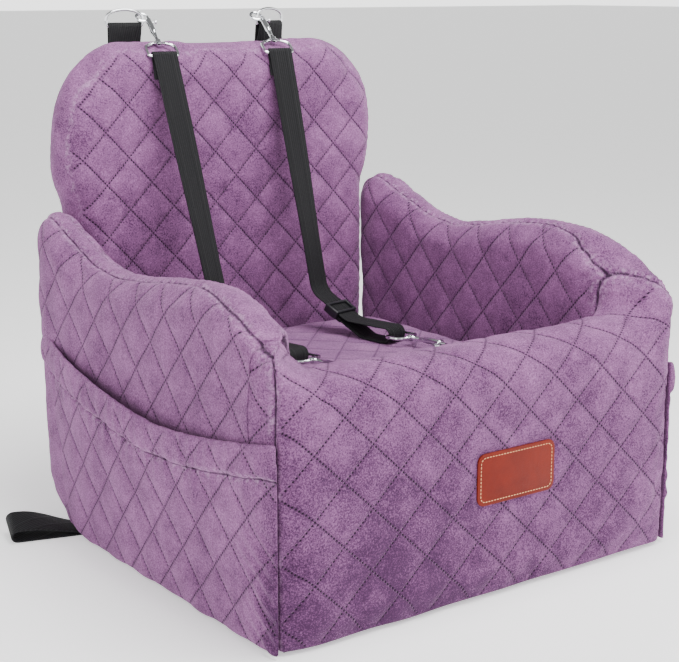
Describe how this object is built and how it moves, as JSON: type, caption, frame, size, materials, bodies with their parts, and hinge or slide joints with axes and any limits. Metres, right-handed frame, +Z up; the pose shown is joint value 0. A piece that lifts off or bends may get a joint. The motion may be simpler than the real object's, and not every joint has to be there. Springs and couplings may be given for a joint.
{
  "type": "dog car seat",
  "caption": "Quilted booster seat for a small dog, with padded walls, side pockets and clip-on tethers.",
  "frame": {"origin": "on the ground under the middle of the seat's body, which is its walls without the belt loop", "axes": "+Z up, -Y towards the low front wall, +Y towards the backrest, +X to the right as seen from the front"},
  "size_m": [0.5302, 0.474, 0.5038],
  "materials": {
    "quilted_velvet": "matte",
    "foam": "matte",
    "base_cloth": "matte",
    "black_webbing": "matte",
    "chrome_steel": "polished",
    "black_plastic": "satin",
    "label_leather": "satin"
  },
  "bodies": {
    "shell": {"backrest_cover": "quilted_velvet", "backrest_foam": "foam", "base_cloth": "base_cloth", "belt_loop": "black_webbing", "front_wall_cover": "quilted_velvet", "front_wall_foam": "foam", "leather_label": "label_leather", "left_arm_cover": "quilted_velvet", "left_arm_foam": "foam", "left_pocket": "quilted_velvet", "left_ring_tab": "black_webbing", "left_tether_webbing": "black_webbing", "left_upper_swivel_eye": "chrome_steel", "right_arm_cover": "quilted_velvet", "right_arm_foam": "foam", "right_pocket": "quilted_velvet", "right_ring_tab": "black_webbing", "right_tether_webbing": "black_webbing", "right_upper_swivel_eye": "chrome_steel", "seat_base_foam": "foam", "seat_cushion_cover": "quilted_velvet", "seat_cushion_foam": "foam", "zip_tape": "black_webbing"},
    "left_ring": {"left_ring": "chrome_steel"},
    "left_upper_snap": {"left_upper_hook_body": "chrome_steel", "left_upper_bolt_spring": "chrome_steel"},
    "left_upper_bolt": {"left_upper_thumb_bolt": "chrome_steel"},
    "left_lower_eye": {"left_lower_swivel_eye": "chrome_steel"},
    "left_lower_snap": {"left_lower_hook_body": "chrome_steel", "left_lower_bolt_spring": "chrome_steel"},
    "left_lower_bolt": {"left_lower_thumb_bolt": "chrome_steel"},
    "left_slider": {"left_slider": "black_plastic", "left_tether_end_fold": "black_webbing"},
    "right_ring": {"right_ring": "chrome_steel"},
    "right_upper_snap": {"right_upper_hook_body": "chrome_steel", "right_upper_bolt_spring": "chrome_steel"},
    "right_upper_bolt": {"right_upper_thumb_bolt": "chrome_steel"},
    "right_lower_eye": {"right_lower_swivel_eye": "chrome_steel"},
    "right_lower_snap": {"right_lower_hook_body": "chrome_steel", "right_lower_bolt_spring": "chrome_steel"},
    "right_lower_bolt": {"right_lower_thumb_bolt": "chrome_steel"},
    "right_slider": {"right_slider": "black_plastic", "right_tether_end_fold": "black_webbing"},
    "zip_slider": {"zip_slider": "chrome_steel"},
    "zip_pull": {"zip_pull": "chrome_steel"}
  },
  "joints": [
    {"name": "left_ring_swing", "type": "hinge", "parent": "shell", "child": "left_ring", "pos_m": [-0.098, 0.22974, 0.4855], "axis": [0.9781, -0.2079, 0], "range_deg": [-4, 4]},
    {"name": "left_upper_swivel", "type": "hinge", "parent": "shell", "child": "left_upper_snap", "pos_m": [-0.07322, 0.22579, 0.4938], "axis": [0.1787, 0.8061, 0.5642], "range_deg": [0, 5]},
    {"name": "left_lower_eye_pivot", "type": "hinge", "parent": "shell", "child": "left_lower_eye", "pos_m": [-0.04711, -0.00176, 0.1793], "axis": [-0.9781, -0.2079, 0], "range_deg": [0, 60]},
    {"name": "left_lower_swivel", "type": "hinge", "parent": "left_lower_eye", "child": "left_lower_snap", "pos_m": [-0.03389, -0.06396, 0.1793], "axis": [-0.2079, 0.9781, 0], "range_deg": [0, 180]},
    {"name": "left_upper_bolt_slide", "type": "slide", "parent": "left_upper_snap", "child": "left_upper_bolt", "axis": [-0.1787, -0.8061, -0.5642], "range_m": [0, 0.006], "stiffness_N_per_m": 300, "springref_m": -0.004, "deforming": ["left_upper_bolt_spring"]},
    {"name": "left_lower_bolt_slide", "type": "slide", "parent": "left_lower_snap", "child": "left_lower_bolt", "axis": [-0.2079, 0.9781, 0], "range_m": [0, 0.006], "stiffness_N_per_m": 300, "springref_m": -0.004, "deforming": ["left_lower_bolt_spring"]},
    {"name": "left_slider_slide", "type": "slide", "parent": "shell", "child": "left_slider", "axis": [-0.1869, 0.8792, 0.4384], "range_m": [0, 0.014]},
    {"name": "right_ring_swing", "type": "hinge", "parent": "shell", "child": "right_ring", "pos_m": [0.0776, 0.22974, 0.4855], "axis": [0.9781, 0.2079, 0], "range_deg": [-4, 4]},
    {"name": "right_upper_swivel", "type": "hinge", "parent": "shell", "child": "right_upper_snap", "pos_m": [0.06521, 0.22579, 0.4938], "axis": [0.1787, 0.8061, 0.5642], "range_deg": [0, 5]},
    {"name": "right_lower_eye_pivot", "type": "hinge", "parent": "shell", "child": "right_lower_eye", "pos_m": [0.08716, 0.01781, 0.1793], "axis": [-0.9781, -0.2079, 0], "range_deg": [0, 60]},
    {"name": "right_lower_swivel", "type": "hinge", "parent": "right_lower_eye", "child": "right_lower_snap", "pos_m": [0.10038, -0.0444, 0.1793], "axis": [-0.2079, 0.9781, 0], "range_deg": [0, 180]},
    {"name": "right_upper_bolt_slide", "type": "slide", "parent": "right_upper_snap", "child": "right_upper_bolt", "axis": [-0.1787, -0.8061, -0.5642], "range_m": [0, 0.006], "stiffness_N_per_m": 300, "springref_m": -0.004, "deforming": ["right_upper_bolt_spring"]},
    {"name": "right_lower_bolt_slide", "type": "slide", "parent": "right_lower_snap", "child": "right_lower_bolt", "axis": [-0.2079, 0.9781, 0], "range_m": [0, 0.006], "stiffness_N_per_m": 300, "springref_m": -0.004, "deforming": ["right_lower_bolt_spring"]},
    {"name": "right_slider_slide", "type": "slide", "parent": "shell", "child": "right_slider", "axis": [-0.1869, 0.8792, 0.4384], "range_m": [0, 0.014]},
    {"name": "zip_slide", "type": "slide", "parent": "shell", "child": "zip_slider", "axis": [1, 0, 0], "range_m": [0, 0.24]},
    {"name": "zip_pull_hinge", "type": "hinge", "parent": "zip_slider", "child": "zip_pull", "pos_m": [-0.124, 0.2362, 0.075], "axis": [0, 0, 1], "range_deg": [0, 80]}
  ]
}
